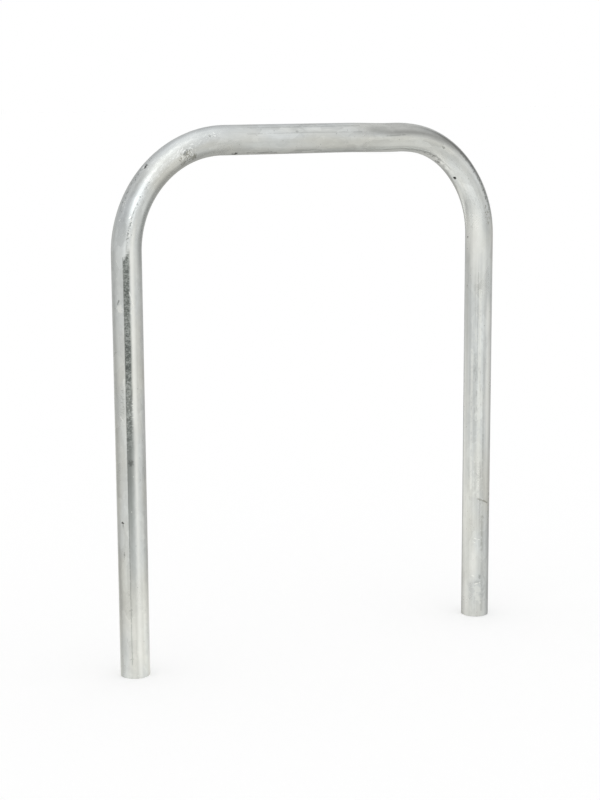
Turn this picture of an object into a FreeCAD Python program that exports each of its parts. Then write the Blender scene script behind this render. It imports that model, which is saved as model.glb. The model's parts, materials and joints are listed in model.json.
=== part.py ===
import FreeCAD, Part
import Sketcher
import math
import os
from enum import IntEnum

# Hoop barrier: one length of round welded steel tube, bent twice and galvanised.
# Millimetres, +Z up, X along the hoop's width, origin midway between the two feet, at their lower ends.
# The tube is divided at the four lines where straight meets bend, so that each section is its own solid:
# two legs, two bends and the top rail, meeting face to face.

DRIVING_SIZES = {
    "tube_od": 60.3,  # outside diameter of the straight tube
    "tube_wall": 3.2,
    "hoop_width": 900.0,  # over the outsides of the legs
    "hoop_height": 1100.0,  # lower end of the legs to the top of the rail
    "bend_radius": 215.0,  # to the tube's centreline
    "bend_flatten": 3.6,  # diameter lost in the hoop's plane at mid-bend
    "bend_spread": 3.2,  # diameter gained square to the hoop's plane at mid-bend
    "foot_chamfer": 0.8,  # deburred outer edge of the saw cut
}

# Lengths worked out from the driving sizes
TUBE_RADIUS = "Sizes.tube_od / 2"
BORE_RADIUS = f"({TUBE_RADIUS} - Sizes.tube_wall)"
LEG_OFFSET = "(Sizes.hoop_width - Sizes.tube_od) / 2"
RAIL_HEIGHT = f"(Sizes.hoop_height - {TUBE_RADIUS})"
LEG_LENGTH = f"({RAIL_HEIGHT} - Sizes.bend_radius)"
BEND_CENTRE_OFFSET = f"({LEG_OFFSET} - Sizes.bend_radius)"
RAIL_LENGTH = f"(2 * {BEND_CENTRE_OFFSET})"

# Angles along a bend, from the leg to the rail, where its section is drawn
BEND_STATIONS_DEG = (0.0, 22.5, 45.0, 67.5, 90.0)

Y_AXIS = FreeCAD.Vector(0, 1, 0)
Z_AXIS = FreeCAD.Vector(0, 0, 1)

doc = FreeCAD.newDocument("HoopBarrier")


class CurvePoint(IntEnum):
    """The numbers by which a sketched curve's own points are constrained."""

    START = 1
    END = 2
    CENTRE = 3


class SketchAxis(IntEnum):
    """The numbers of a sketch's own axes."""

    HORIZONTAL = -1
    VERTICAL = -2


SKETCH_ORIGIN = (SketchAxis.HORIZONTAL, CurvePoint.START)


def make_sizes():
    """The sheet of driving sizes, one named cell each."""
    sheet = doc.addObject("Spreadsheet::Sheet", "Sizes")
    for row, (alias, value) in enumerate(DRIVING_SIZES.items(), start=1):
        sheet.set(f"A{row}", alias)
        sheet.set(f"B{row}", str(value))
        sheet.setAlias(f"B{row}", alias)
    doc.recompute()


def size_now(alias):
    """A sheet value, for a sketch's first guess before its constraints are solved."""
    return float(doc.Sizes.get(alias))


def new_sketch(body, name, role):
    """A sketch on one of the body's own origin planes."""
    plane = next(o for o in body.Origin.OriginFeatures if o.Role == role)
    sketch = body.newObject("Sketcher::SketchObject", name)
    sketch.AttachmentSupport = [(plane, "")]
    sketch.MapMode = "FlatFace"
    return sketch


def constrain(sketch, *terms):
    return sketch.addConstraint(Sketcher.Constraint(*terms))


def drive(sketch, name, expression, *terms):
    """A named dimension that follows an expression."""
    sketch.renameConstraint(constrain(sketch, *terms), name)
    sketch.setExpression(f"Constraints.{name}", expression)


def add_circle(sketch, name, radius):
    """A circle on the sketch's origin."""
    geo = sketch.addGeometry(Part.Circle())
    constrain(sketch, "Coincident", geo, CurvePoint.CENTRE, *SKETCH_ORIGIN)
    drive(sketch, name, radius, "Radius", geo, size_now("tube_od") / 2)
    return geo


def straight_tube(name, role, length):
    """A straight run of tube, padded from its ring-shaped section."""
    body = doc.addObject("PartDesign::Body", name)
    section = new_sketch(body, f"{name}_section", role)
    add_circle(section, "outside_radius", TUBE_RADIUS)
    add_circle(section, "bore_radius", BORE_RADIUS)
    run = body.newObject("PartDesign::Pad", f"{name}_run")
    run.Profile = section
    run.setExpression("Length", length)
    return body, run


def deburr_foot(body, run):
    """A small chamfer on the outer edge of the leg's cut lower end."""
    doc.recompute()
    foot_edges = [
        (edge.Curve.Radius, f"Edge{number}")
        for number, edge in enumerate(run.Shape.Edges, start=1)
        if isinstance(edge.Curve, Part.Circle) and abs(edge.Curve.Center.z) < 1e-6
    ]
    outer_edge = max(foot_edges)[1]
    chamfer = body.newObject("PartDesign::Chamfer", f"{body.Name}_foot")
    chamfer.Base = (run, [outer_edge])
    chamfer.setExpression("Size", "Sizes.foot_chamfer")


def make_leg(name, offset):
    body, run = straight_tube(name, "XY_Plane", LEG_LENGTH)
    body.setExpression("Placement.Base.x", offset)
    deburr_foot(body, run)
    return body


def make_rail(name):
    body, _ = straight_tube(name, "YZ_Plane", RAIL_LENGTH)
    body.setExpression("Placement.Base.x", f"-{BEND_CENTRE_OFFSET}")
    body.setExpression("Placement.Base.z", RAIL_HEIGHT)
    return body


def hold_on_centreline(sketch, name, geo):
    """Keeps a curve's centre on the sketch's upright axis, one bend radius above its origin."""
    constrain(sketch, "PointOnObject", geo, CurvePoint.CENTRE, SketchAxis.VERTICAL)
    span = (*SKETCH_ORIGIN, geo, CurvePoint.CENTRE)
    drive(sketch, f"{name}_height", "Sizes.bend_radius", "DistanceY", *span, size_now("bend_radius"))


def add_bend_round(sketch, name, radius):
    """A circle on the bend's centreline."""
    centre = FreeCAD.Vector(0, size_now("bend_radius"), 0)
    geo = sketch.addGeometry(Part.Circle(centre, Z_AXIS, size_now("tube_od") / 2))
    hold_on_centreline(sketch, name, geo)
    drive(sketch, f"{name}_radius", radius, "Radius", geo, size_now("tube_od") / 2)


def add_bend_oval(sketch, name, spread_radius, flat_radius):
    """An ellipse on the bend's centreline, its long axis square to the hoop's plane."""
    centre = FreeCAD.Vector(0, size_now("bend_radius"), 0)
    long_guess = size_now("tube_od") / 2 + size_now("bend_spread")
    short_guess = size_now("tube_od") / 2 - size_now("bend_flatten")
    geo = sketch.addGeometry(Part.Ellipse(centre, long_guess, short_guess))
    sketch.exposeInternalGeometry(geo)
    long_axis = geo + 1
    short_axis = geo + 2
    hold_on_centreline(sketch, name, geo)
    constrain(sketch, "Horizontal", long_axis)
    drive(sketch, f"{name}_long", f"2 * ({spread_radius})", "Distance", long_axis, 2 * long_guess)
    drive(sketch, f"{name}_short", f"2 * ({flat_radius})", "Distance", short_axis, 2 * short_guess)


def bend_section(body, station):
    """The ring-shaped section at one angle along the bend: round at the ends, most oval half way."""
    sketch = new_sketch(body, f"{body.Name}_section_{round(10 * station)}", "XY_Plane")
    tilt = FreeCAD.Rotation(Y_AXIS, station) * FreeCAD.Rotation(Z_AXIS, 90)
    sketch.AttachmentOffset = FreeCAD.Placement(FreeCAD.Vector(), tilt)
    if station in (BEND_STATIONS_DEG[0], BEND_STATIONS_DEG[-1]):
        add_bend_round(sketch, "outside", TUBE_RADIUS)
        add_bend_round(sketch, "bore", BORE_RADIUS)
        return sketch
    ovalness = f"sin(2 * {station} deg)"
    spread = f"Sizes.bend_spread / 2 * {ovalness}"
    flatten = f"Sizes.bend_flatten / 2 * {ovalness}"
    add_bend_oval(sketch, "outside", f"{TUBE_RADIUS} + {spread}", f"{TUBE_RADIUS} - {flatten}")
    add_bend_oval(sketch, "bore", f"{BORE_RADIUS} + {spread}", f"{BORE_RADIUS} - {flatten}")
    return sketch


def bend_centreline(body):
    """A quarter circle about the body's origin, from straight left to straight up."""
    sketch = new_sketch(body, f"{body.Name}_centreline", "XZ_Plane")
    circle = Part.Circle(FreeCAD.Vector(), Z_AXIS, size_now("bend_radius"))
    geo = sketch.addGeometry(Part.ArcOfCircle(circle, math.pi / 2, math.pi))
    constrain(sketch, "Coincident", geo, CurvePoint.CENTRE, *SKETCH_ORIGIN)
    constrain(sketch, "PointOnObject", geo, CurvePoint.START, SketchAxis.VERTICAL)
    constrain(sketch, "PointOnObject", geo, CurvePoint.END, SketchAxis.HORIZONTAL)
    drive(sketch, "radius", "Sizes.bend_radius", "Radius", geo, size_now("bend_radius"))
    return sketch


def make_bend(name, offset, turn_deg):
    """A quarter bend swept along its centreline through sections that flatten and round out again."""
    body = doc.addObject("PartDesign::Body", name)
    centreline = bend_centreline(body)
    sections = [bend_section(body, station) for station in BEND_STATIONS_DEG]
    doc.recompute()
    sweep = body.newObject("PartDesign::AdditivePipe", f"{name}_sweep")
    sweep.Profile = sections[0]
    sweep.Spine = (centreline, ["Edge1"])
    sweep.Sections = sections[1:]
    sweep.Transformation = "Multisection"
    body.Placement = FreeCAD.Placement(FreeCAD.Vector(), FreeCAD.Rotation(Z_AXIS, turn_deg))
    body.setExpression("Placement.Base.x", offset)
    body.setExpression("Placement.Base.z", LEG_LENGTH)
    return body


def check_document():
    for item in doc.Objects:
        if "Invalid" in item.State or "Error" in item.State:
            raise RuntimeError(f"{item.Name} failed: {item.State}")


def export(sub_parts):
    for body in sub_parts:
        if body.Shape.isNull() or not body.Shape.isValid():
            raise RuntimeError(f"{body.Label} has no valid shape")
    os.makedirs("parts", exist_ok=True)
    for body in sub_parts:
        body.Shape.exportStep(f"parts/{body.Label}.step")
        print(f"{body.Label}: {len(body.Shape.Solids)} solid, {body.Shape.Volume:.0f} mm3")


make_sizes()
hoop = [
    make_leg("left_leg", f"-{LEG_OFFSET}"),
    make_bend("left_bend", f"-{BEND_CENTRE_OFFSET}", 0),
    make_rail("top_rail"),
    make_bend("right_bend", BEND_CENTRE_OFFSET, 180),
    make_leg("right_leg", LEG_OFFSET),
]
doc.recompute()
check_document()
export(hoop)
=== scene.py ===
"""Hoop barrier of galvanised steel tube: the finished surface of each section, the studio and the camera."""

import json
import math
from typing import NamedTuple

import bmesh
import bpy
from mathutils import Matrix, Vector, noise


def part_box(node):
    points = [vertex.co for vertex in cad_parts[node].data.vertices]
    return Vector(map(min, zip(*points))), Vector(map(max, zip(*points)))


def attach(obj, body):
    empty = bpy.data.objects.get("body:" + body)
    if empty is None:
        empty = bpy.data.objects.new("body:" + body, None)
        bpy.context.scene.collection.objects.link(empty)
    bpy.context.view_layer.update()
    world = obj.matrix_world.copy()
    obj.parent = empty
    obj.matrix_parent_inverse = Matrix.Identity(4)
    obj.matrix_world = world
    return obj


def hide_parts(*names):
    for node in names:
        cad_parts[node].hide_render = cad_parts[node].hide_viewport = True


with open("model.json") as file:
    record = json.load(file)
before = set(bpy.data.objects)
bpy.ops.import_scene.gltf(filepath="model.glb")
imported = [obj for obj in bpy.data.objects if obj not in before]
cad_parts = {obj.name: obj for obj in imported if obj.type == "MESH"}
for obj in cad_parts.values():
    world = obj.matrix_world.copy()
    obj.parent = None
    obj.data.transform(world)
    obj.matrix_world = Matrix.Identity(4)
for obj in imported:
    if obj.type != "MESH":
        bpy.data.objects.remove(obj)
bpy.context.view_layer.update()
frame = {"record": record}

# Sizes read from the solids, in metres
leg_low, leg_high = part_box("left_leg")
bend_low, bend_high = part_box("left_bend")
rail_low, rail_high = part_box("top_rail")
TUBE_RADIUS = (leg_high.x - leg_low.x) / 2
LEG_X = -(leg_low.x + leg_high.x) / 2
LEG_LENGTH = leg_high.z
RAIL_HALF = rail_high.x
RAIL_Z = (rail_low.z + rail_high.z) / 2
BEND_RADIUS = RAIL_Z - LEG_LENGTH
BEND_LENGTH = BEND_RADIUS * math.pi / 2
BEND_SPREAD = (bend_high.y - bend_low.y) / 2 - TUBE_RADIUS

# Sizes that the solids' boxes don't show
mounts = {mount["name"]: mount for mount in frame["record"]["mounts"]}
BORE_RADIUS = mounts["left_bore"]["dims"]["r_mm"] / 1000
BEND_FLATTEN = 0.0018
FOOT_ROUND = 0.0008
WALL_MIDDLE_RADIUS = (TUBE_RADIUS + BORE_RADIUS) / 2

# The tube laid straight: lengths from the left foot to the start of each section
LEFT_BEND_START = LEG_LENGTH
RAIL_START = LEFT_BEND_START + BEND_LENGTH
RIGHT_BEND_START = RAIL_START + 2 * RAIL_HALF
RIGHT_LEG_START = RIGHT_BEND_START + BEND_LENGTH
TUBE_LENGTH = RIGHT_LEG_START + LEG_LENGTH
SECTIONS = {
    "left_leg": (0.0, LEFT_BEND_START),
    "left_bend": (LEFT_BEND_START, RAIL_START),
    "top_rail": (RAIL_START, RIGHT_BEND_START),
    "right_bend": (RIGHT_BEND_START, RIGHT_LEG_START),
    "right_leg": (RIGHT_LEG_START, TUBE_LENGTH),
}

# How finely the walls are drawn
AROUND = 144
STRAIGHT_RING_GAP = 0.004
BEND_RING_GAP = 0.002
BORE_RING_GAP = 0.012
END_RING_GAP = 0.002
MERGE_GAP = 0.00001
FOOT_ROUND_STEPS = 3

# Unevenness of the dipped skin: how far it strays from true and over what length
SKIN_STRAY = 0.00009
SKIN_WAVE = 0.045

# The right bend eases in early: where the tube lies a little inside, then outside its true line, and how far
EASE_DIP = (1.580, -0.0017)
EASE_RISE = (1.715, 0.0016)
EASE_REACH = 0.095

# Wrinkles that the bending pressed into the inside of the right bend
WRINKLE_START = RIGHT_BEND_START + 0.02
WRINKLE_END = RIGHT_BEND_START + 0.19
WRINKLE_PITCH = 0.021
WRINKLE_DEPTH = 0.00035
WRINKLE_ANGLE = math.radians(-78)
WRINKLE_SPAN = math.radians(34)
WRINKLE_LEAN = 2.0

# Colours of what lies on the zinc, and of the painted shade and painted light laid over it
SOOT = (0.018, 0.018, 0.016, 1)
ASH_AND_PAINTED_SHADE = (0.20, 0.21, 0.20, 1)
OLIVE = (0.21, 0.205, 0.16, 1)
CHALK_AND_PAINTED_LIGHT = (0.86, 0.87, 0.84, 1)
BRIGHT = (0.96, 0.965, 0.94, 1)


class Mark(NamedTuple):
    """A single blemish in the zinc."""

    along: float  # from the left foot
    angle: float  # in degrees, from the front towards the hoop's outside
    half_length: float  # along the tube
    half_width: float  # round the tube
    proud: float  # how far it stands out, or in where negative
    shade: tuple
    share: float  # how far its shade covers the zinc


MARKS = {
    "pit": Mark(1.7850, -69.1, 0.0042, 0.0040, -0.0014, SOOT, 0.98),
    "nick": Mark(1.0195, 74.5, 0.0054, 0.0034, -0.0008, SOOT, 0.88),
    "nick_lip": Mark(1.0165, 81.0, 0.0046, 0.0032, 0.0003, BRIGHT, 0.95),
    "drip": Mark(1.2115, -63.0, 0.0062, 0.0056, 0.0011, SOOT, 0.90),
    "fleck": Mark(0.3220, 62.8, 0.0028, 0.0028, -0.0004, SOOT, 0.92),
    "fleck_tail": Mark(0.3165, 61.5, 0.0044, 0.0014, 0.0000, ASH_AND_PAINTED_SHADE, 0.60),
    "zinc_run": Mark(1.7225, -79.0, 0.0075, 0.0040, 0.0007, SOOT, 0.55),
    "dross_left": Mark(1.0780, -29.0, 0.0060, 0.0065, 0.0004, OLIVE, 0.34),
    "dross_right": Mark(1.1070, -30.0, 0.0065, 0.0070, 0.0004, OLIVE, 0.56),
    "dross_front": Mark(1.0895, 3.0, 0.0034, 0.0040, 0.0003, ASH_AND_PAINTED_SHADE, 0.66),
    "dross_back": Mark(1.0960, 8.5, 0.0026, 0.0030, 0.0002, ASH_AND_PAINTED_SHADE, 0.60),
    "stroke": Mark(0.2560, 57.7, 0.0075, 0.0018, 0.0000, ASH_AND_PAINTED_SHADE, 0.45),
    "chip": Mark(0.7490, 55.0, 0.0085, 0.0080, 0.0000, BRIGHT, 0.50),
    "strip_spot": Mark(0.4450, 24.0, 0.0060, 0.0060, 0.0000, SOOT, 0.40),
    "rail_start_spot": Mark(1.1515, 30.8, 0.0032, 0.0032, 0.0000, ASH_AND_PAINTED_SHADE, 0.42),
    "rail_spot": Mark(1.3465, 29.0, 0.0042, 0.0032, 0.0000, ASH_AND_PAINTED_SHADE, 0.36),
    "bend_spot": Mark(1.7050, -4.0, 0.0050, 0.0026, 0.0000, ASH_AND_PAINTED_SHADE, 0.55),
    "leg_top_spot": Mark(1.9435, -90.0, 0.0028, 0.0028, -0.0003, SOOT, 0.66),
    "leg_spot": Mark(2.0510, -89.0, 0.0034, 0.0022, 0.0000, ASH_AND_PAINTED_SHADE, 0.40),
    "foot_spot": Mark(2.7030, -14.5, 0.0060, 0.0030, 0.0000, ASH_AND_PAINTED_SHADE, 0.50),
}

# How far round a mark, in its half sizes, the wall is divided more finely, how often, and how its flank falls
MARK_REACH = 2.2
MARK_SPLITS = 2
MARK_FLANK = 1.5


class Line(NamedTuple):
    """A scratch or drawn line in the zinc, or a painted highlight or shade, through points that are lengths
    from the left foot and angles.
    """

    points: tuple
    half_width: float
    shade: tuple
    share: float


LINES = {
    # strip_edge_low and strip_edge darken the outer edge of the strip of painted dark reflection
    "strip_edge_low": Line(((0.030, 35.2), (0.340, 36.6)), 0.0010, ASH_AND_PAINTED_SHADE, 0.36),
    "strip_edge": Line(((0.340, 36.6), (0.850, 37.8)), 0.0010, ASH_AND_PAINTED_SHADE, 0.50),
    "seam_line": Line(((0.862, 24.5), (0.900, 24.0), (0.945, 22.0)), 0.0013, ASH_AND_PAINTED_SHADE, 0.26),
    "side_curl": Line(((0.522, 47.0), (0.530, 53.0), (0.536, 62.0)), 0.0016, BRIGHT, 0.50),
    "strip_curl": Line(((0.590, 40.0), (0.604, 46.0), (0.611, 43.0)), 0.0016, BRIGHT, 0.45),
    "strip_top_curl": Line(((0.756, 2.0), (0.770, 8.0), (0.782, 16.0)), 0.0014, BRIGHT, 0.60),
    "leg_top_scuff": Line(((0.7660, 57.0), (0.7590, 63.0)), 0.0018, ASH_AND_PAINTED_SHADE, 0.70),
    "foot_tick": Line(((0.042, 36.0), (0.040, 44.0)), 0.0010, ASH_AND_PAINTED_SHADE, 0.40),
    "leg_tick": Line(((0.143, 36.5), (0.142, 43.0)), 0.0010, ASH_AND_PAINTED_SHADE, 0.40),
    "rail_middle_line": Line(((1.235, 23.5), (1.360, 25.0), (1.500, 24.0)), 0.0013, ASH_AND_PAINTED_SHADE, 0.22),
    "rail_top_line": Line(((1.240, 52.0), (1.500, 54.0)), 0.0018, ASH_AND_PAINTED_SHADE, 0.28),
    "rail_under_line": Line(((1.238, -57.0), (1.305, -58.5)), 0.0015, ASH_AND_PAINTED_SHADE, 0.50),
    "rail_under_streak": Line(((1.345, -48.5), (1.408, -51.0)), 0.0022, ASH_AND_PAINTED_SHADE, 0.24),
    "rail_line": Line(((1.395, -61.0), (1.530, -64.5)), 0.0014, ASH_AND_PAINTED_SHADE, 0.40),
    "bend_line": Line(((1.560, 8.5), (1.605, 11.0)), 0.0012, ASH_AND_PAINTED_SHADE, 0.36),
    "die_line": Line(
        ((1.520, -62.0), (1.600, -47.5), (1.628, -57.0), (1.680, -54.0), (1.760, -59.0)),
        0.0011, ASH_AND_PAINTED_SHADE, 0.46),
    "leg_line": Line(((2.020, -35.0), (2.350, -36.0)), 0.0012, ASH_AND_PAINTED_SHADE, 0.24),
    # leg_gleam and leg_upper_gleam are painted highlights and leg_shade is painted shade, streaks along the
    # right leg
    "leg_gleam": Line(((2.060, -27.0), (2.300, -26.5), (2.520, -27.0)), 0.0036, CHALK_AND_PAINTED_LIGHT, 0.55),
    "leg_shade": Line(((2.200, -43.0), (2.340, -42.0), (2.505, -43.5)), 0.0036, ASH_AND_PAINTED_SHADE, 0.20),
    "leg_upper_gleam": Line(((2.190, -59.5), (2.300, -59.0), (2.500, -58.0)), 0.0026, BRIGHT, 0.55),
    "leg_side_line": Line(((2.380, -7.0), (2.500, -8.0), (2.780, -6.0)), 0.0024, ASH_AND_PAINTED_SHADE, 0.20),
    "lower_leg_line": Line(((2.330, -37.0), (2.500, -43.0)), 0.0010, ASH_AND_PAINTED_SHADE, 0.16),
    "scratch": Line(((2.5235, -27.0), (2.5290, 0.0), (2.5350, 22.0)), 0.0018, OLIVE, 0.62),
    "leg_side_stain": Line(((2.565, -8.0), (2.640, -7.0)), 0.0034, OLIVE, 0.22),
    "short_scratch": Line(((2.614, -40.0), (2.617, -20.0)), 0.0014, BRIGHT, 0.90),
    "shorter_scratch": Line(((2.622, -43.0), (2.624, -37.0)), 0.0013, BRIGHT, 0.90),
    "side_scratch": Line(((2.562, -8.0), (2.569, 4.0)), 0.0010, ASH_AND_PAINTED_SHADE, 0.36),
    "foot_scratch": Line(((2.719, -34.0), (2.716, -13.0)), 0.0014, BRIGHT, 0.80),
    "foot_nick": Line(((2.6995, -47.0), (2.7005, -42.0)), 0.0016, BRIGHT, 0.90),
}


class Wash(NamedTuple):
    """A stretch where the zinc is painted a little paler or duller, fading out to its edge: painted light
    where paler, painted shade where duller.
    """

    along: float
    angle: float
    half_length: float
    half_width: float
    shade: tuple
    share: float


# Painted light and painted shade: stretches of the zinc made paler or duller in place of reflections and
# shade that the studio doesn't give
PAINTED_LIGHT_AND_SHADE = {
    "left_foot_edge": Wash(0.150, 88.0, 0.300, 0.0120, ASH_AND_PAINTED_SHADE, 0.20),
    "left_foot_inside": Wash(0.100, -42.0, 0.100, 0.0120, ASH_AND_PAINTED_SHADE, 0.14),
    "strip_side": Wash(0.490, 9.0, 0.060, 0.0080, ASH_AND_PAINTED_SHADE, 0.18),
    "strip_pale": Wash(0.560, 26.0, 0.070, 0.0140, CHALK_AND_PAINTED_LIGHT, 0.13),
    "seam_side": Wash(0.915, 37.0, 0.045, 0.0115, ASH_AND_PAINTED_SHADE, 0.34),
    "left_bend_inside": Wash(0.900, -38.0, 0.150, 0.0150, ASH_AND_PAINTED_SHADE, 0.36),
    "left_bend_end": Wash(1.106, 16.0, 0.036, 0.0110, ASH_AND_PAINTED_SHADE, 0.20),
    "rail_start": Wash(1.205, -28.0, 0.050, 0.0120, ASH_AND_PAINTED_SHADE, 0.20),
    "under_rail": Wash(1.360, -32.0, 0.075, 0.0200, BRIGHT, 0.32),
    "rail_top": Wash(1.350, 42.0, 0.028, 0.0180, ASH_AND_PAINTED_SHADE, 0.18),
    "rail_end_top": Wash(1.545, 39.0, 0.045, 0.0110, ASH_AND_PAINTED_SHADE, 0.22),
    "under_rail_end": Wash(1.575, -64.0, 0.085, 0.0120, BRIGHT, 0.70),
    "under_right_bend": Wash(1.600, -44.0, 0.110, 0.0240, CHALK_AND_PAINTED_LIGHT, 0.85),
    "inside_right_bend": Wash(1.695, -72.0, 0.100, 0.0220, BRIGHT, 0.95),
    "right_bend_low": Wash(1.815, -80.0, 0.075, 0.0140, ASH_AND_PAINTED_SHADE, 0.20),
    "right_bend_edge": Wash(1.830, 36.0, 0.150, 0.0120, ASH_AND_PAINTED_SHADE, 0.50),
    "right_leg_top": Wash(1.950, -50.0, 0.120, 0.0220, BRIGHT, 0.70),
    "right_leg_shoulder": Wash(1.925, 3.0, 0.060, 0.0165, ASH_AND_PAINTED_SHADE, 0.26),
    "right_leg_inside_top": Wash(1.935, -88.0, 0.090, 0.0130, BRIGHT, 0.80),
    "right_leg_inside": Wash(2.320, -92.0, 0.520, 0.0140, BRIGHT, 0.60),
    "right_leg_edge": Wash(2.290, 18.0, 0.240, 0.0130, BRIGHT, 0.75),
    "right_leg_outer": Wash(2.125, 15.0, 0.070, 0.0130, BRIGHT, 0.70),
    "right_leg_painted_shade": Wash(2.472, -74.0, 0.050, 0.0120, ASH_AND_PAINTED_SHADE, 0.20),
    "right_foot_front": Wash(2.672, -44.0, 0.060, 0.0150, BRIGHT, 0.55),
    "right_foot_inside": Wash(2.770, -86.0, 0.090, 0.0160, BRIGHT, 0.85),
}

# Kinds of flecks in the zinc: their width and length
FLECKS = {
    "fine": (0.0034, 0.0042),
    "coarse": (0.0042, 0.0078),
    "wide": (0.0080, 0.0034),
    "long": (0.0046, 0.0250),
    "broad": (0.0105, 0.0125),
}


class Mottle(NamedTuple):
    """A patch of the zinc that is strewn with flecks."""

    along: float  # its middle, from the left foot
    angle: float
    half_length: float
    half_width: float
    flecks: str  # their kind
    cover: float  # how much of the patch the flecks cover, from 0 to 1
    shade: tuple
    share: float


MOTTLES = {
    # seam_sparkle, bend_sparkle and outer_sparkle are painted glints, and rail_gleam is a painted highlight
    # along the rail
    "seam_specks": Mottle(0.905, 22.5, 0.065, 0.0045, "fine", 0.38, ASH_AND_PAINTED_SHADE, 0.70),
    "seam_sparkle": Mottle(0.915, 22.0, 0.080, 0.0100, "fine", 0.26, BRIGHT, 0.95),
    "strip_chips": Mottle(0.540, 10.0, 0.070, 0.0090, "wide", 0.28, CHALK_AND_PAINTED_LIGHT, 0.75),
    "strip_top_chips": Mottle(0.745, 8.0, 0.030, 0.0070, "wide", 0.30, CHALK_AND_PAINTED_LIGHT, 0.75),
    "side_scuffs": Mottle(0.560, 52.0, 0.075, 0.0130, "wide", 0.30, ASH_AND_PAINTED_SHADE, 0.28),
    "dross": Mottle(1.090, -16.0, 0.040, 0.0250, "fine", 0.40, OLIVE, 0.72),
    "dross_flakes": Mottle(1.095, -8.0, 0.036, 0.0200, "fine", 0.26, BRIGHT, 0.80),
    "bend_flakes": Mottle(1.060, 25.0, 0.140, 0.0300, "coarse", 0.36, CHALK_AND_PAINTED_LIGHT, 0.60),
    "bend_sparkle": Mottle(1.088, 16.0, 0.060, 0.0150, "fine", 0.32, BRIGHT, 0.90),
    "outer_sparkle": Mottle(0.930, 68.0, 0.075, 0.0130, "fine", 0.20, BRIGHT, 0.90),
    "bend_specks": Mottle(0.975, 18.0, 0.060, 0.0080, "fine", 0.26, ASH_AND_PAINTED_SHADE, 0.55),
    "outer_specks": Mottle(0.990, 80.0, 0.120, 0.0100, "fine", 0.34, ASH_AND_PAINTED_SHADE, 0.65),
    "rail_start_flakes": Mottle(1.157, 30.0, 0.032, 0.0120, "fine", 0.30, BRIGHT, 0.90),
    "rail_gleam": Mottle(1.360, 38.0, 0.170, 0.0060, "long", 0.40, CHALK_AND_PAINTED_LIGHT, 0.50),
    "inner_flakes": Mottle(1.710, -68.0, 0.080, 0.0100, "fine", 0.46, BRIGHT, 0.80),
    "wrinkle_specks": Mottle(1.690, -62.0, 0.075, 0.0075, "fine", 0.36, ASH_AND_PAINTED_SHADE, 0.62),
    "edge_ticks": Mottle(1.825, 25.0, 0.125, 0.0090, "wide", 0.46, SOOT, 0.46),
    "bend_end_stains": Mottle(1.895, 8.0, 0.040, 0.0100, "coarse", 0.50, OLIVE, 0.48),
    "leg_rubs": Mottle(2.150, -48.0, 0.210, 0.0150, "long", 0.32, CHALK_AND_PAINTED_LIGHT, 0.40),
    "leg_stains": Mottle(2.260, -30.0, 0.240, 0.0240, "long", 0.30, ASH_AND_PAINTED_SHADE, 0.20),
    "foot_scuffs": Mottle(2.742, -22.0, 0.046, 0.0270, "broad", 0.42, CHALK_AND_PAINTED_LIGHT, 0.42),
    "foot_grime": Mottle(2.732, -14.0, 0.056, 0.0290, "broad", 0.40, ASH_AND_PAINTED_SHADE, 0.17),
}

# Specks all over the zinc: how far apart and how large, their shade, its share and their pattern's shift
SPECKS = {
    "dark": (0.019, 0.0013, ASH_AND_PAINTED_SHADE, 0.60, (0.0, 0.0, 0.0)),
    "pale": (0.014, 0.0016, CHALK_AND_PAINTED_LIGHT, 0.50, (3.1, 5.7, 1.3)),
}

# Flecks show where their noise stands above a level: the level of no cover, how far full cover lowers it,
# how far it rises towards a patch's edge and over which stretch of the patch, and the flecks' own soft edge
FLECKS_NONE = 0.66
FLECKS_FULL = 0.34
FLECKS_THIN_BY = 0.25
FLECKS_THIN = (0.25, 1.0)
FLECK_EDGE = (-0.01, 0.04)

# Soft edges of the blemishes and of the painted light and shade, from nothing to full, in half sizes
WASH_EDGE = (1.0, 0.15)
MOTTLE_EDGE = (1.2, 0.7)
MARK_EDGE = (1.10, 0.60)
LINE_EDGE = (1.5, 0.4)

# How outlines waver, over what length and how far, how uneven marks are, and where lines break off
WAVER_LENGTH = 0.012
WAVER_REACH = 0.0012
UNEVEN_SIZES = (0.0036, 0.0036, 0.0036)
UNEVEN_SWING = 3.2
BROKEN_SIZES = (0.006, 0.006, 0.008)
BROKEN_EDGE = (0.30, 0.52)

# The inside bead of the tube's long weld
WELD_ANGLE = math.radians(24.8)
WELD_BEAD_HEIGHT = 0.0009
WELD_BEAD_HALF = 0.0022


def bend_angle(along):
    """How far the tube has turned at this length: 0 on the left leg, a quarter turn on the rail."""
    left = min(max(along - LEFT_BEND_START, 0.0), BEND_LENGTH)
    right = min(max(along - RIGHT_BEND_START, 0.0), BEND_LENGTH)
    return (left + right) / BEND_RADIUS


def bent(straight):
    """Carries a point of the straight tube (outward, front, along) to its place on the bent hoop."""
    outward, front, along = straight
    turn = bend_angle(along)
    arc_x = BEND_RADIUS * math.cos(turn)
    arc_z = LEG_LENGTH + BEND_RADIUS * math.sin(turn)
    if along <= LEFT_BEND_START:
        centre = Vector((-LEG_X, 0, along))
    elif along < RAIL_START:
        centre = Vector((-RAIL_HALF - arc_x, 0, arc_z))
    elif along <= RIGHT_BEND_START:
        centre = Vector((along - RAIL_START - RAIL_HALF, 0, RAIL_Z))
    elif along < RIGHT_LEG_START:
        centre = Vector((RAIL_HALF - arc_x, 0, arc_z))
    else:
        centre = Vector((LEG_X, 0, TUBE_LENGTH - along))
    return centre + Vector((-outward * math.cos(turn), -front, outward * math.sin(turn)))


def early_ease(along):
    """How far the tube lies outside its true line where the right bend eases in."""
    shift = 0.0
    for middle, height in (EASE_DIP, EASE_RISE):
        share = min(abs(along - middle) / EASE_REACH, 1.0)
        shift += height * (1 - share ** 2) ** 2
    return shift


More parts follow.
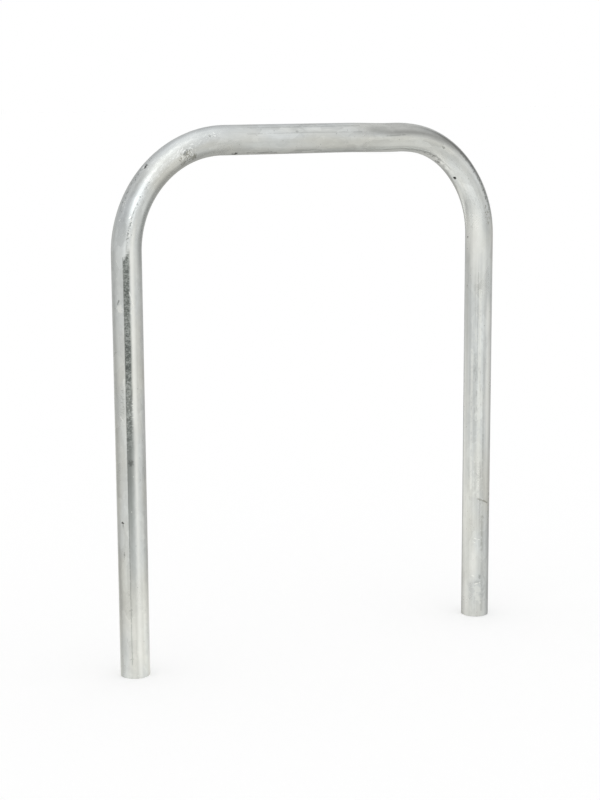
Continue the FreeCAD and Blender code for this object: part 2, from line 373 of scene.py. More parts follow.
def flattened(straight):
    """The oval that bending gives the tube: drawn in within the hoop's plane, spread square to it."""
    outward, front, along = straight
    ovalness = abs(math.sin(2 * bend_angle(along)))
    return Vector((
        outward * (1 - BEND_FLATTEN / TUBE_RADIUS * ovalness) + early_ease(along),
        front * (1 + BEND_SPREAD / TUBE_RADIUS * ovalness),
        along,
    ))


def eased(value, low, high):
    """0 at low and below, 1 at high and above, with an eased rise between."""
    share = min(max((value - low) / (high - low), 0.0), 1.0)
    return share * share * (3 - 2 * share)


def angle_from(angle, centre):
    """The shorter way round from one angle to another."""
    return (angle - centre + math.pi) % (2 * math.pi) - math.pi


def wrinkles(angle, along):
    """Ripples across the inside of the right bend."""
    if not WRINKLE_START < along < WRINKLE_END:
        return 0.0
    middle = (WRINKLE_START + WRINKLE_END) / 2
    lengthwise = 1 - eased(abs(along - middle), 0.0, (WRINKLE_END - WRINKLE_START) / 2)
    across = 1 - eased(abs(angle_from(angle, WRINKLE_ANGLE)), 0.0, WRINKLE_SPAN)
    ripple = math.sin(2 * math.pi * along / WRINKLE_PITCH + WRINKLE_LEAN * angle)
    return WRINKLE_DEPTH * lengthwise * across * ripple


def mark_depth(angle, along):
    """The pits, nicks and beads of zinc, each a smooth hollow or lump."""
    depth = 0.0
    for mark in MARKS.values():
        lengthwise = (along - mark.along) / mark.half_length
        if mark.proud and abs(lengthwise) < 1:
            across = angle_from(angle, math.radians(mark.angle)) * TUBE_RADIUS / mark.half_width
            depth += mark.proud * max(0.0, 1 - lengthwise ** 2 - across ** 2) ** MARK_FLANK
    return depth


def dipped_skin(straight):
    """The outer wall with its zinc: a little inside the true size, with wrinkles and marks added."""
    angle = math.atan2(straight.x, straight.y)
    stray = SKIN_STRAY * (noise.noise(straight / SKIN_WAVE) - 1)
    proud = stray + wrinkles(angle, straight.z) + mark_depth(angle, straight.z)
    around = Vector((straight.x, straight.y, 0)).normalized()
    return straight + around * proud


def welded_bore(straight):
    """The bore with the bead that the long weld left inside it."""
    angle = math.atan2(straight.x, straight.y)
    across = angle_from(angle, WELD_ANGLE) * BORE_RADIUS / WELD_BEAD_HALF
    inward = WELD_BEAD_HEIGHT * max(0.0, 1 - across ** 2)
    return straight - Vector((straight.x, straight.y, 0)).normalized() * inward


def grow_ring(bm, ring, rise=0.0, scale=1.0, cuts=0):
    """Extrudes a ring of edges along the tube or across its wall, with cuts between. Returns the new ring."""
    grown = bmesh.ops.extrude_edge_only(bm, edges=ring)["geom"]
    moved = [item for item in grown if isinstance(item, bmesh.types.BMVert)]
    bmesh.ops.scale(bm, vec=(scale, scale, 1), verts=moved)
    bmesh.ops.translate(bm, vec=(0, 0, rise), verts=moved)
    edges = [item for item in grown if isinstance(item, bmesh.types.BMEdge)]
    new_ring = [edge for edge in edges if set(edge.verts) <= set(moved)]
    if cuts:
        struts = list({edge for vert in moved for edge in vert.link_edges} - set(new_ring))
        bmesh.ops.subdivide_edges(bm, edges=struts, cuts=cuts, use_grid_fill=True)
    return new_ring


def grow_wall(bm, ring, length, ring_gap):
    """Carries a ring along the tube, with a short step at each end so that the shading stays true there."""
    step = math.copysign(END_RING_GAP, length)
    run = length - 2 * step
    ring = grow_ring(bm, ring, rise=step)
    ring = grow_ring(bm, ring, rise=run, cuts=round(abs(run) / ring_gap) - 1)
    return grow_ring(bm, ring, rise=step)


def refine_marks(bm, start, end):
    """Divides the wall more finely where a mark will be pressed into it, short of the section's ends."""
    for mark in MARKS.values():
        if not mark.proud or not start < mark.along < end:
            continue
        turn = math.radians(mark.angle)
        centre = Vector((TUBE_RADIUS * math.sin(turn), TUBE_RADIUS * math.cos(turn), mark.along))
        reach = MARK_REACH * max(mark.half_length, mark.half_width)
        for _ in range(MARK_SPLITS):
            near = {
                vert for vert in bm.verts
                if (vert.co - centre).length < reach and start + END_RING_GAP < vert.co.z < end - END_RING_GAP
            }
            edges = [edge for edge in bm.edges if set(edge.verts) <= near]
            bmesh.ops.subdivide_edges(bm, edges=edges, cuts=1, use_grid_fill=True)


def draw_section(name):
    """One section of the tube, still straight, as one closed sheet: up its outer wall and down its bore."""
    start, end = SECTIONS[name]
    bm = bmesh.new()
    circle = bmesh.ops.create_circle(
        bm, segments=AROUND, radius=TUBE_RADIUS, matrix=Matrix.Translation((0, 0, start)))["verts"]
    first = list({edge for vert in circle for edge in vert.link_edges})
    top = grow_wall(bm, first, end - start, BEND_RING_GAP if "bend" in name else STRAIGHT_RING_GAP)
    refine_marks(bm, start, end)
    bore_top = grow_ring(bm, top, scale=BORE_RADIUS / TUBE_RADIUS)
    bore_foot = grow_wall(bm, bore_top, start - end, BORE_RING_GAP)
    last = grow_ring(bm, bore_foot, scale=TUBE_RADIUS / BORE_RADIUS)
    meeting = {vert for edge in first + last for vert in edge.verts}
    bmesh.ops.remove_doubles(bm, verts=list(meeting), dist=MERGE_GAP)
    return bm


def cut_rings(bm, layer, along):
    """The edges of the outer wall and of the bore where the tube is cut square at this length."""
    at_cut = {vert for vert in bm.verts if abs(vert[layer].z - along) < MERGE_GAP}
    rings = {"outer": [], "bore": []}
    for edge in bm.edges:
        if set(edge.verts) <= at_cut:
            radii = [vert[layer].xy.length for vert in edge.verts]
            if abs(radii[0] - radii[1]) < MERGE_GAP:
                rings["outer" if radii[0] > WALL_MIDDLE_RADIUS else "bore"].append(edge)
    return rings


def make_section(name, material):
    """Draws a section, presses its marks in, bends it, rounds its foot, hangs it on the root body and hides
    the solid it stands for.
    """
    bm = draw_section(name)
    layer = bm.verts.layers.float_vector.new("straight")
    for vert in bm.verts:
        vert[layer] = vert.co
        in_bore = vert.co.xy.length < WALL_MIDDLE_RADIUS
        vert.co = bent(flattened(welded_bore(vert.co) if in_bore else dipped_skin(vert.co)))
    bmesh.ops.recalc_face_normals(bm, faces=bm.faces)
    if bm.calc_volume(signed=True) < 0:
        bmesh.ops.reverse_faces(bm, faces=bm.faces)
    for along in SECTIONS[name]:
        rings = cut_rings(bm, layer, along)
        for edge in rings["outer"] + rings["bore"]:
            edge.smooth = False
        if along in (0.0, TUBE_LENGTH):
            bmesh.ops.bevel(
                bm, geom=rings["outer"], offset=FOOT_ROUND, segments=FOOT_ROUND_STEPS, profile=0.5,
                affect="EDGES", material=-1)
    for face in bm.faces:
        face.smooth = True
    mesh = bpy.data.meshes.new(f"{name}_surface")
    bm.to_mesh(mesh)
    bm.free()
    mesh.materials.append(material)
    piece = bpy.data.objects.new(f"{name}_surface", mesh)
    bpy.context.scene.collection.objects.link(piece)
    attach(piece, "root")
    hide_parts(name)


class Nodes:
    """Short calls that add nodes to a tree. Each returns the output that the next node reads."""

    def __init__(self, tree):
        self.tree = tree

    def add(self, kind, inputs=(), output=0, **settings):
        node = self.tree.nodes.new(kind)
        for name, value in settings.items():
            setattr(node, name, value)
        for socket, value in dict(inputs).items():
            self.feed(node.inputs[socket], value)
        return node.outputs[output]

    def feed(self, socket, value):
        if isinstance(value, bpy.types.NodeSocket):
            self.tree.links.new(value, socket)
        else:
            socket.default_value = value

    def math(self, operation, *values):
        return self.add("ShaderNodeMath", enumerate(values), operation=operation)

    def eased(self, value, start, end):
        """0 at start and 1 at end, with an eased rise between. Start may be the larger."""
        ends = {"Value": value, "From Min": start, "From Max": end}
        # The eased rise stops at 0 and 1 by itself, so the node's own limit is off
        return self.add("ShaderNodeMapRange", ends, interpolation_type="SMOOTHSTEP", clamp=False)

    def within(self, value, centre, half, soft):
        """1 within half of the centre, 0 beyond, with a soft edge."""
        away = self.math("ABSOLUTE", self.math("SUBTRACT", value, centre))
        return self.eased(away, half + soft, half - soft)

    def product(self, *values):
        result = values[0]
        for value in values[1:]:
            result = self.math("MULTIPLY", result, value)
        return result

    def blend(self, share, first, second):
        return self.add("ShaderNodeMix", {0: share, 2: first, 3: second})

    def blend_colour(self, share, first, second, how="MIX"):
        return self.add("ShaderNodeMix", {0: share, 6: first, 7: second}, 2, data_type="RGBA", blend_type=how)

    def vector(self, operation, *values, output=0):
        return self.add("ShaderNodeVectorMath", enumerate(values), output, operation=operation)

    def axes(self, where, names):
        """The named coordinates of a place."""
        return [self.add("ShaderNodeSeparateXYZ", {0: where}, name) for name in names]

    def scaled(self, where, sizes):
        """Coordinates in which one unit is the given size along each axis."""
        return self.vector("MULTIPLY", where, [1 / size for size in sizes])

    def cloudy(self, where, sizes, detail=2.0, roughness=0.5):
        """Cloudy noise, 0 to 1, with patches of about these sizes in metres."""
        return self.add("ShaderNodeTexNoise", {
            "Vector": self.scaled(where, sizes), "Scale": 1.0, "Detail": detail, "Roughness": roughness})

    def ragged(self, where, size, reach):
        """Coordinates pushed about by up to half of reach, so that straight edges turn out uneven."""
        push = self.add("ShaderNodeTexNoise", {
            "Vector": where, "Scale": 1 / size, "Detail": 1.0}, "Color")
        about_zero = self.vector("SUBTRACT", push, (0.5, 0.5, 0.5))
        return self.vector("MULTIPLY_ADD", about_zero, (reach,) * 3, where)

    def cells(self, where, sizes, output):
        """Cells of about these sizes in metres: each one's random colour, or the distance from its point."""
        return self.add("ShaderNodeTexVoronoi", {"Vector": self.scaled(where, sizes), "Scale": 1.0}, output)

    def crystals(self, where, sizes):
        """One random value, 0 to 1, for each crystal of about these sizes in metres."""
        return self.add("ShaderNodeSeparateXYZ", {0: self.cells(where, sizes, "Color")})

    def specks(self, where, gap, size):
        """1 within specks of about this size, strewn about this gap apart."""
        away = self.cells(where, (gap,) * 3, "Distance")
        return self.eased(away, size / gap, 0.5 * size / gap)

    def to_segment(self, chart, start, end):
        """How far each point of the chart lies from a straight stretch between two of its points."""
        run = Vector(end) - Vector(start)
        from_start = self.vector("SUBTRACT", chart, start)
        share = self.vector("DOT_PRODUCT", from_start, run / run.length_squared, output="Value")
        reached = self.add("ShaderNodeClamp", {"Value": share})
        nearest = self.add("ShaderNodeVectorMath", {0: run, "Scale": reached}, operation="SCALE")
        return self.vector("DISTANCE", from_start, nearest, output="Value")

    def swing(self, value, amount):
        """Turns noise from 0 to 1 into a factor about 1."""
        return self.math("MULTIPLY_ADD", self.math("SUBTRACT", value, 0.5), amount, 1.0)


# The dark strip over the long weld, on the left leg, a painted dark reflection: its edges, and how soft they
# are
STRIP_INNER = math.radians(14.0)
STRIP_OUTER = math.radians(37.6)
STRIP_SOFT_LOW = math.radians(13.0)
STRIP_SOFT_HIGH = math.radians(5.5)
STRIP_SOFT_OUTER = math.radians(1.2)

# The lengths between which the strip darkens, turns mottled and narrows
STRIP_DARKENS = (0.02, 0.50)
STRIP_MOTTLES = (0.44, 0.53)
STRIP_NARROWS = (0.42, 0.56)

# The strip's ragged, slanting end
STRIP_END = LEFT_BEND_START + 0.018
STRIP_END_SOFT = 0.009
STRIP_END_RAGGED = 0.020
STRIP_SLANT = 0.045

# How far the strip's inner edge wanders, in radians, and its mottling of flakes and blots
STRIP_WANDER = 0.10
STRIP_WANDER_SIZES = (0.010, 0.010, 0.030)
STRIP_FLAKE_SIZES = (0.0046, 0.0046, 0.0036)
STRIP_BLOT_SIZES = (0.022, 0.022, 0.014)
STRIP_BLOT_SHARE = 0.32
STRIP_MOTTLE_EDGE = (0.395, 0.625)

# The painted highlight beside the strip, a brighter band: its middle, half width and soft edge, how far it
# covers the zinc low down and high up, and the lengths between which it brightens and fades out
PAINTED_HIGHLIGHT_ANGLE = math.radians(3.0)
PAINTED_HIGHLIGHT_HALF = math.radians(7.0)
PAINTED_HIGHLIGHT_SOFT = math.radians(8.0)
PAINTED_HIGHLIGHT_SHARE_LOW = 0.46
PAINTED_HIGHLIGHT_SHARE_HIGH = 0.86
PAINTED_HIGHLIGHT_BRIGHTENS = (0.25, 0.80)
PAINTED_HIGHLIGHT_FADES = (STRIP_END + 0.070, STRIP_END + 0.005)

# Colours of the zinc, then of the strip's painted dark reflection
ZINC_COOL = (0.690, 0.711, 0.714, 1)
ZINC_WARM = (0.724, 0.726, 0.694, 1)
ZINC_TINT_EDGE = (0.35, 0.65)
STRIP_PLAIN = (0.270, 0.285, 0.275, 1)
STRIP_DARK = (0.140, 0.154, 0.145, 1)
STRIP_LIGHT = (0.425, 0.447, 0.430, 1)

# Stretches that are warmer or cooler than the rest: middle, half length, soft edge and shift to the warm zinc
TINTED = {
    "left_foot": (0.10, 0.18, 0.10, 0.07),
    "right_leg_top": (2.17, 0.26, 0.10, -0.11),
}

# Patterns in the zinc: their sizes outward, towards the front and along the tube, and how its crystals waver
CLOUD_SIZES = (0.05, 0.05, 0.14)
TINT_SIZES = (0.06, 0.06, 0.18)
PATCH_SIZES = (0.017, 0.017, 0.045)
FLAKE_SIZES = (0.006, 0.006, 0.011)
GRAIN_SIZES = (0.004, 0.004, 0.005)
STREAK_SIZES = (0.011, 0.011, 0.32)
THIN_STREAK_SIZES = (0.0040, 0.0040, 0.26)
CRYSTAL_WAVER_LENGTH = 0.016
CRYSTAL_WAVER_REACH = 0.008

# How far each pattern swings the zinc's brightness, the streaks where it is plain and where it is streaked
CLOUD_TONE = 0.26
PATCH_TONE = 0.16
FLAKE_TONE = 0.07
GRAIN_TONE = 0.06
STREAK_TONES = (0.26, 0.58)
THIN_STREAK_TONES = (0.12, 0.46)

# The right leg is streaked: the lengths between which the streaks set in and calm down, and what is left
STREAKS_START = (RIGHT_LEG_START - 0.03, RIGHT_LEG_START + 0.05)
STREAKS_CALM = (2.46, 2.64)
STREAKS_AT_FOOT = 0.30

# How dull the zinc is, how far each pattern swings that, and the lengths over which each bend turns burnished
DULL_ROUGHNESS = 0.34
BURNISHED_ROUGHNESS = 0.15
STRIP_ROUGHNESS = 0.55
CLOUD_DULLING = 0.5
PATCH_DULLING = 0.3
STREAK_DULLING = 0.25
GRAIN_DULLING = 0.4
LEFT_BURNISH_STARTS = (LEFT_BEND_START + 0.02, LEFT_BEND_START + 0.07)
LEFT_BURNISH_ENDS = (RAIL_START + 0.05, RAIL_START - 0.10)
RIGHT_BURNISH_STARTS = (RIGHT_BEND_START - 0.11, RIGHT_BEND_START - 0.06)
RIGHT_BURNISH_ENDS = (RIGHT_LEG_START + 0.02, RIGHT_LEG_START - 0.12)

# The zinc's fine relief: each pattern's share of it, how strongly it shows and how high it stands
STREAK_RELIEF = 0.5
GRAIN_RELIEF = 0.35
FLAKE_RELIEF = 0.25
RELIEF_STRENGTH = 0.6
RELIEF_HEIGHT = 0.00012


def chart_point(along, angle):
    """Where a mark lies on the tube's skin laid flat."""
    return (math.radians(angle) * TUBE_RADIUS, along, 0.0)


def painted_reflection_strip(n, where, angle, along, colour):
    """Lays the strip of painted dark reflection and the painted highlight band beside it over the zinc.
    Returns the colour and the strip's share of it.
    """
    soft = n.blend(n.eased(along, *STRIP_NARROWS), STRIP_SOFT_LOW, STRIP_SOFT_HIGH)
    sway = n.cloudy(where, STRIP_WANDER_SIZES)
    wander = n.math("MULTIPLY_ADD", sway, STRIP_WANDER, n.math("SUBTRACT", angle, STRIP_WANDER / 2))
    inner = n.eased(wander, n.math("SUBTRACT", STRIP_INNER, soft), n.math("ADD", STRIP_INNER, soft))
    outer = n.eased(angle, STRIP_OUTER + STRIP_SOFT_OUTER, STRIP_OUTER - STRIP_SOFT_OUTER)
    flakes = n.cloudy(where, STRIP_FLAKE_SIZES, detail=3.0, roughness=0.65)
    slanted = n.math("MULTIPLY_ADD", n.math("SUBTRACT", angle, STRIP_INNER), STRIP_SLANT, along)
    ragged_end = n.math("MULTIPLY_ADD", flakes, STRIP_END_RAGGED, slanted)
    stops = n.eased(ragged_end, STRIP_END + STRIP_END_SOFT, STRIP_END - STRIP_END_SOFT)
    share = n.product(inner, outer, stops, n.eased(along, *STRIP_DARKENS))
    blots = n.cloudy(where, STRIP_BLOT_SIZES, detail=1.0)
    flaked = n.math("MULTIPLY", flakes, 1 - STRIP_BLOT_SHARE)
    mottle = n.math("MULTIPLY_ADD", blots, STRIP_BLOT_SHARE, flaked)
    mottled = n.blend_colour(n.eased(mottle, *STRIP_MOTTLE_EDGE), STRIP_DARK, STRIP_LIGHT)
    strip_colour = n.blend_colour(n.eased(along, *STRIP_MOTTLES), STRIP_PLAIN, mottled)
    # A painted highlight: the brighter band beside the strip
    brightens = n.blend(n.eased(along, *PAINTED_HIGHLIGHT_BRIGHTENS), PAINTED_HIGHLIGHT_SHARE_LOW, PAINTED_HIGHLIGHT_SHARE_HIGH)
    beside = n.within(angle, PAINTED_HIGHLIGHT_ANGLE, PAINTED_HIGHLIGHT_HALF, PAINTED_HIGHLIGHT_SOFT)
    band = n.product(beside, n.eased(along, *PAINTED_HIGHLIGHT_FADES), brightens)
    colour = n.blend_colour(band, colour, BRIGHT)
    return n.blend_colour(share, colour, strip_colour), share


def patch_away(n, chart, patch):
    """How far each point of the chart lies from a patch's middle, with 1 at the patch's edge."""
    from_middle = n.vector("SUBTRACT", chart, chart_point(patch.along, patch.angle))
    in_half_sizes = n.scaled(from_middle, (patch.half_width, patch.half_length, 1.0))
    return n.vector("LENGTH", in_half_sizes, output="Value")


def line_away(n, chart, line):
    """How far each point of the chart lies from a line."""
    places = [chart_point(*point) for point in line.points]
    away = n.to_segment(chart, *places[:2])
    for start, end in zip(places[1:], places[2:]):
        away = n.math("MINIMUM", away, n.to_segment(chart, start, end))
    return away


def gather(n, layer, shade, share):
    """Adds a share of a shade to a layer. Where two of the same shade meet, the larger share holds."""
    layer[shade] = n.math("MAXIMUM", layer[shade], share) if shade in layer else share


def blemishes_and_painted_light(n, where, chart, colour):
    """Lays washes of painted light and shade, mottled patches, then single marks, lines and specks over the
    zinc.
    """
    wavering = n.ragged(chart, WAVER_LENGTH, WAVER_REACH)
    pale_flecks = {
        kind: n.cloudy(where, (width, width, length), detail=2.0, roughness=0.6)
        for kind, (width, length) in FLECKS.items()
    }
    dark_flecks = {kind: n.math("SUBTRACT", 1.0, flecks) for kind, flecks in pale_flecks.items()}
    crumbly = n.cloudy(where, UNEVEN_SIZES, detail=3.0, roughness=0.7)
    uneven = n.math("MULTIPLY_ADD", crumbly, UNEVEN_SWING, -UNEVEN_SWING / 2)
    broken = n.eased(n.cloudy(where, BROKEN_SIZES, detail=3.0, roughness=0.6), *BROKEN_EDGE)
    washes, mottles, marks = {}, {}, {}
    for wash in PAINTED_LIGHT_AND_SHADE.values():
        faded = n.eased(patch_away(n, wavering, wash), *WASH_EDGE)
        gather(n, washes, wash.shade, n.math("MULTIPLY", faded, wash.share))
    for mottle in MOTTLES.values():
        away = patch_away(n, wavering, mottle)
        flecks = (pale_flecks if mottle.shade in (CHALK_AND_PAINTED_LIGHT, BRIGHT) else dark_flecks)[mottle.flecks]
        level = FLECKS_NONE - FLECKS_FULL * mottle.cover
        bare = n.math("MULTIPLY_ADD", n.eased(away, *FLECKS_THIN), FLECKS_THIN_BY, level)
        strewn = n.eased(n.math("SUBTRACT", flecks, bare), *FLECK_EDGE)
        gather(n, mottles, mottle.shade, n.product(strewn, n.eased(away, *MOTTLE_EDGE), mottle.share))
    for mark in MARKS.values():
        spot = n.eased(n.math("ADD", patch_away(n, wavering, mark), uneven), *MARK_EDGE)
        gather(n, marks, mark.shade, n.math("MULTIPLY", spot, mark.share))
    for line in LINES.values():
        edge = [line.half_width * size for size in LINE_EDGE]
        drawn = n.eased(line_away(n, wavering, line), *edge)
        gather(n, marks, line.shade, n.product(drawn, broken, line.share))
    for gap, size, shade, share, shift in SPECKS.values():
        strewn = n.specks(n.vector("ADD", where, shift), gap, size)
        gather(n, marks, shade, n.math("MULTIPLY", strewn, share))
    for layer in (washes, mottles, marks):
        for shade, share in layer.items():
            colour = n.blend_colour(share, colour, shade)
    return colour


def galvanised_zinc():
    """Hot-dip zinc: pale grey, clouded and streaked, with burnished bends, a painted dark reflection as a
    strip over the weld, and painted light and shade.
    """
    material = bpy.data.materials.new("galvanised_zinc")
    material.use_nodes = True
    n = Nodes(material.node_tree)
    shader = material.node_tree.nodes["Principled BSDF"]
    where = n.add("ShaderNodeAttribute", output="Vector", attribute_name="straight")
    outward, front, along = n.axes(where, "XYZ")
    angle = n.math("ARCTAN2", outward, front)
    chart = n.add("ShaderNodeCombineXYZ", {"X": n.math("MULTIPLY", angle, TUBE_RADIUS), "Y": along})

    uneven = n.ragged(where, CRYSTAL_WAVER_LENGTH, CRYSTAL_WAVER_REACH)
    cloud = n.cloudy(where, CLOUD_SIZES, detail=3.0)
    tint = n.cloudy(where, TINT_SIZES)
    for middle, half, soft, shift in TINTED.values():
        tint = n.math("MULTIPLY_ADD", n.within(along, middle, half, soft), shift, tint)
    patch = n.crystals(uneven, PATCH_SIZES)
    flake = n.crystals(uneven, FLAKE_SIZES)
    streak = n.cloudy(where, STREAK_SIZES, detail=3.0)
    thin_streak = n.cloudy(where, THIN_STREAK_SIZES)
    calm = n.blend(n.eased(along, *STREAKS_CALM), 1.0, STREAKS_AT_FOOT)
    streaky = n.math("MULTIPLY", n.eased(along, *STREAKS_START), calm)
    grain = n.cloudy(where, GRAIN_SIZES, detail=3.0, roughness=0.6)

    colour = n.blend_colour(n.eased(tint, *ZINC_TINT_EDGE), ZINC_COOL, ZINC_WARM)
    tones = (
        n.swing(cloud, CLOUD_TONE),
        n.swing(patch, PATCH_TONE),
        n.swing(flake, FLAKE_TONE),
        n.swing(grain, GRAIN_TONE),
        n.swing(streak, n.blend(streaky, *STREAK_TONES)),
        n.swing(thin_streak, n.blend(streaky, *THIN_STREAK_TONES)),
    )
    colour = n.blend_colour(1.0, colour, n.product(*tones), "MULTIPLY")
    colour, strip = painted_reflection_strip(n, where, angle, along, colour)
    colour = blemishes_and_painted_light(n, where, chart, colour)

    left_bend = n.product(n.eased(along, *LEFT_BURNISH_STARTS), n.eased(along, *LEFT_BURNISH_ENDS))
    right_bend = n.product(n.eased(along, *RIGHT_BURNISH_STARTS), n.eased(along, *RIGHT_BURNISH_ENDS))
    roughness = n.blend(n.math("ADD", left_bend, right_bend), DULL_ROUGHNESS, BURNISHED_ROUGHNESS)
    roughness = n.product(
        roughness, n.swing(cloud, CLOUD_DULLING), n.swing(patch, PATCH_DULLING),
        n.swing(streak, STREAK_DULLING), n.swing(grain, GRAIN_DULLING))
    roughness = n.blend(strip, roughness, STRIP_ROUGHNESS)

    height = n.math("MULTIPLY", streak, STREAK_RELIEF)
    height = n.math("MULTIPLY_ADD", grain, GRAIN_RELIEF, height)
    height = n.math("MULTIPLY_ADD", flake, FLAKE_RELIEF, height)
    bump = n.add("ShaderNodeBump", {
        "Height": height, "Strength": RELIEF_STRENGTH, "Distance": RELIEF_HEIGHT})

    n.feed(shader.inputs["Base Color"], colour)
    n.feed(shader.inputs["Roughness"], roughness)
    n.feed(shader.inputs["Normal"], bump)
    n.feed(shader.inputs["Metallic"], 1.0)
    return material


# Light walls round the studio that the zinc mirrors, rounded from a fit to the photograph's shading: azimuth
# from the front towards the left, with its half width and soft edge, elevation with the same, all in degrees,
# and brightness beside the white background
WALLS = {
    "back": (203, 83, 21, -7, 58, 36, 0.57),
    "ground_right": (-122, 57, 45, -52, 36, 2, 0.46),
    "left": (70, 40, 34, 29, 25, 7, 0.51),
    "window": (37, 30, 45, 39, 52, 43, 1.30),
    "horizon": (46, 27, 13, 1, 4, 2, 0.47),
}

# The round lamp among them: its azimuth and elevation, half width, half height, soft share and brightness
LAMP_AZIMUTH = math.radians(34)
LAMP_ELEVATION = math.radians(29)
LAMP_HALF_WIDTH = math.radians(16.5)
LAMP_HALF_HEIGHT = math.radians(17.5)
LAMP_SOFT = 0.20
LAMP_LEVEL = 1.46

# What the zinc mirrors beside them: brightness and tint of the ground and the sky, and between which
# elevations one gives way to the other. The room's level is the plain light that falls on the floor
GROUND_LEVEL = 0.82
SKY_LEVEL = 0.88
ZENITH_LEVEL = 1.08
HORIZON_EDGE = (math.radians(-4), math.radians(4))
ZENITH_EDGE = (math.radians(45), math.radians(85))
GROUND_TINT = (1.0, 1.0, 0.965, 1)
SKY_TINT = (0.98, 0.995, 1.0, 1)
TINT_EDGE = (math.radians(-10), math.radians(25))
ROOM_LEVEL = 0.80
WHITE = (1, 1, 1, 1)


def studio_surround():
    """A white background for the camera, plain light on the floor, and soft walls for the zinc to mirror."""
    world = bpy.data.worlds.new("studio")
    bpy.context.scene.world = world
    world.use_nodes = True
    n = Nodes(world.node_tree)
    where = n.add("ShaderNodeTexCoord", output="Generated")
    x, y, z = n.axes(where, "XYZ")
    azimuth = n.math("ARCTAN2", n.math("MULTIPLY", x, -1.0), n.math("MULTIPLY", y, -1.0))
    elevation = n.math("ARCSINE", z)
    sky = n.blend(n.eased(elevation, *ZENITH_EDGE), SKY_LEVEL, ZENITH_LEVEL)
    level = n.blend(n.eased(elevation, *HORIZON_EDGE), GROUND_LEVEL, sky)
    for *angles, wall_level in WALLS.values():
        turn, turn_half, turn_soft, rise, rise_half, rise_soft = map(math.radians, angles)
        from_middle = n.math("WRAP", n.math("SUBTRACT", azimuth, turn), math.pi, -math.pi)
        wide = n.eased(n.math("ABSOLUTE", from_middle), turn_half + turn_soft, turn_half - turn_soft)
        high = n.within(elevation, rise, rise_half, rise_soft)
        level = n.blend(n.product(wide, high), level, wall_level)
    beside = n.math("DIVIDE", n.math("SUBTRACT", azimuth, LAMP_AZIMUTH), LAMP_HALF_WIDTH)
    above = n.math("DIVIDE", n.math("SUBTRACT", elevation, LAMP_ELEVATION), LAMP_HALF_HEIGHT)
    from_lamp = n.vector("LENGTH", n.add("ShaderNodeCombineXYZ", {"X": beside, "Y": above}), output="Value")
    level = n.blend(n.eased(from_lamp, 1 + LAMP_SOFT, 1 - LAMP_SOFT), level, LAMP_LEVEL)
    tint = n.blend_colour(n.eased(elevation, *TINT_EDGE), GROUND_TINT, SKY_TINT)
    path = world.node_tree.nodes.new("ShaderNodeLightPath")
    level = n.blend(path.outputs["Is Glossy Ray"], ROOM_LEVEL, level)
    straight_on = n.math("MAXIMUM", path.outputs["Is Camera Ray"], path.outputs["Is Transmission Ray"])
    level = n.blend(straight_on, level, 1.0)
    tint = n.blend_colour(path.outputs["Is Glossy Ray"], WHITE, tint)
    background = world.node_tree.nodes["Background"]
    n.feed(background.inputs["Color"], tint)
    n.feed(background.inputs["Strength"], level)


# The floor's half size and how pale it is
FLOOR_HALF = 80.0
FLOOR_LEVEL = 0.90

# The part of the floor under and behind the hoop that the zinc mirrors as white, also fitted: its sides, how
# far they slant, its near and far ends, and how softly it gives way to the surround
SHEET_SIDES = (-0.53, 0.185)
SHEET_SIDE_SOFT = 0.23
SHEET_SLANT = 0.075
SHEET_ENDS = (-4.0, 6.0)
SHEET_END_SOFT = 0.12
SHEET_TINT = (1.0, 1.0, 0.88, 1)


def studio_plane(name, half):
    """A square sheet for the studio, with a plain material of its own."""
    bm = bmesh.new()
    bmesh.ops.create_grid(bm, x_segments=1, y_segments=1, size=half)
    mesh = bpy.data.meshes.new(name)
    bm.to_mesh(mesh)
    bm.free()
    plane = bpy.data.objects.new(name, mesh)
    bpy.context.scene.collection.objects.link(plane)
    material = bpy.data.materials.new(name)
    material.use_nodes = True
    material.cycles.emission_sampling = "NONE"
    mesh.materials.append(material)
    return plane


def between(n, value, ends, soft):
    """1 between two places and 0 outside them, with soft edges."""
    low, high = ends
    return n.product(n.eased(value, low - soft, low + soft), n.eased(value, high + soft, high - soft))


def studio_floor():
    """A plain pale floor at the level of the feet, white to the camera but for the hoop's soft shadow."""
    floor = studio_plane("pale_floor", FLOOR_HALF)
    n = Nodes(floor.active_material.node_tree)
    nodes = n.tree.nodes
    shader = nodes["Principled BSDF"]
    path = nodes.new("ShaderNodeLightPath")
    mirrored = path.outputs["Is Glossy Ray"]
    x, y = n.axes(n.add("ShaderNodeTexCoord", output="Object"), "XY")
    slanted = n.math("MULTIPLY_ADD", y, SHEET_SLANT, x)
    between_sides = between(n, slanted, SHEET_SIDES, SHEET_SIDE_SOFT)
    sheet = n.product(between_sides, between(n, y, SHEET_ENDS, SHEET_END_SOFT))
    n.feed(shader.inputs["Base Color"], (FLOOR_LEVEL, FLOOR_LEVEL, FLOOR_LEVEL, 1))
    n.feed(shader.inputs["Roughness"], 1.0)
    n.feed(shader.inputs["Specular IOR Level"], 0.0)
    n.feed(shader.inputs["Emission Color"], n.blend_colour(mirrored, WHITE, SHEET_TINT))
    to_white = 1 - FLOOR_LEVEL * ROOM_LEVEL
    seen = n.math("MAXIMUM", path.outputs["Is Camera Ray"], path.outputs["Is Transmission Ray"])
    seen = n.math("MAXIMUM", seen, mirrored)
    n.feed(shader.inputs["Emission Strength"], n.math("MULTIPLY", seen, to_white))
    clear = n.add("ShaderNodeBsdfTransparent")
    unseen = n.math("MULTIPLY", mirrored, n.math("SUBTRACT", 1.0, sheet))
    surface = n.add("ShaderNodeMixShader", {0: unseen, 1: shader.outputs[0], 2: clear})
    n.feed(nodes["Material Output"].inputs["Surface"], surface)


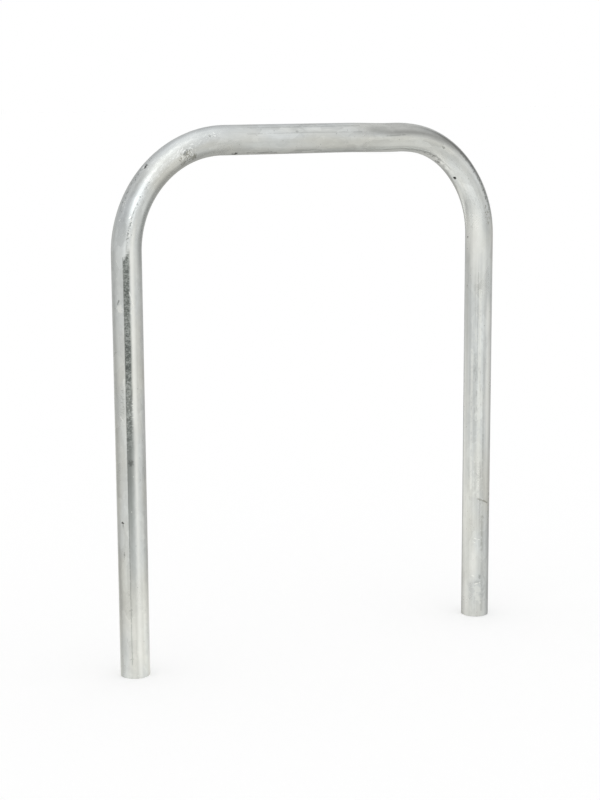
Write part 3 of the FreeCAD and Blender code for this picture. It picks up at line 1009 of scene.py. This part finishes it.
# The dark cloth hung over the right bend, which only the zinc shows, also fitted: its middle, which way it
# faces, and its patches, each with its place across and up the cloth, half sizes, soft edges and brightness
CLOTH_MIDDLE = Vector((0.508, -0.182, 1.265))
CLOTH_TURN = math.radians(-25.7)
CLOTH_RISE = math.radians(57.3)
CLOTH_HALF = 3.0
CLOTH_PATCHES = {
    "near": (0.00, 0.00, 0.20, 0.105, 0.045, 0.365, 0.25),
    "far": (-1.00, 0.125, 0.80, 0.215, 0.165, 0.165, 0.25),
}


def toward(turn, dip):
    """The direction at a turn from straight back towards the right, and at a dip below level."""
    return Vector((math.sin(turn) * math.cos(dip), math.cos(turn) * math.cos(dip), -math.sin(dip)))


def stood_at(place, across, up, out):
    """The matrix that stands an object at a place, with its own axes along these directions."""
    return Matrix.Translation(place) @ Matrix((across, up, out)).transposed().to_4x4()


def studio_cloth():
    """A cloth beyond the right bend that the zinc mirrors as the dark band round that bend."""
    cloth = studio_plane("dark_cloth", CLOTH_HALF)
    facing = -toward(CLOTH_TURN, CLOTH_RISE)
    across = Vector((-math.cos(CLOTH_TURN), math.sin(CLOTH_TURN), 0))
    up = across.cross(facing)
    cloth.matrix_world = stood_at(CLOTH_MIDDLE, across, up, across.cross(up))
    for ray in ("camera", "diffuse", "transmission", "volume_scatter", "shadow"):
        setattr(cloth, f"visible_{ray}", False)
    n = Nodes(cloth.active_material.node_tree)
    nodes = n.tree.nodes
    nodes.remove(nodes["Principled BSDF"])
    x, y = n.axes(n.add("ShaderNodeTexCoord", output="Object"), "XY")
    surface = n.add("ShaderNodeBsdfTransparent")
    for place_x, place_y, half_x, half_y, soft_x, soft_y, level in CLOTH_PATCHES.values():
        patch = n.product(n.within(x, place_x, half_x, soft_x), n.within(y, place_y, half_y, soft_y))
        grey = n.add("ShaderNodeEmission", {"Color": (level, level, level, 1), "Strength": 1.0})
        surface = n.add("ShaderNodeMixShader", {0: patch, 1: surface, 2: grey})
    n.feed(nodes["Material Output"].inputs["Surface"], surface)


# Where the lens stands, in metres, and how it is turned, fitted to the hoop's outline
LENS_PLACE = Vector((-1.85248, -3.18203, 1.17364))
LENS_YAW = math.radians(29.78)
LENS_PITCH = math.radians(9.958)
LENS_ROLL = math.radians(0.2985)
LENS_MM = 80.28
SENSOR_MM = 36.0


def studio_camera():
    """The camera, turned to the hoop and rolled a little."""
    ahead = toward(LENS_YAW, LENS_PITCH)
    level_right = Vector((math.cos(LENS_YAW), -math.sin(LENS_YAW), 0))
    level_down = ahead.cross(level_right)
    right = math.cos(LENS_ROLL) * level_right + math.sin(LENS_ROLL) * level_down
    down = math.cos(LENS_ROLL) * level_down - math.sin(LENS_ROLL) * level_right
    data = bpy.data.cameras.new("camera")
    data.lens = LENS_MM
    data.sensor_width = SENSOR_MM
    camera = bpy.data.objects.new("camera", data)
    camera.matrix_world = stood_at(LENS_PLACE, right, -down, -ahead)
    bpy.context.scene.collection.objects.link(camera)
    bpy.context.scene.camera = camera


zinc = galvanised_zinc()
for section in SECTIONS:
    make_section(section, zinc)
studio_surround()
studio_floor()
studio_cloth()
studio_camera()
bpy.context.scene.view_settings.view_transform = "Standard"
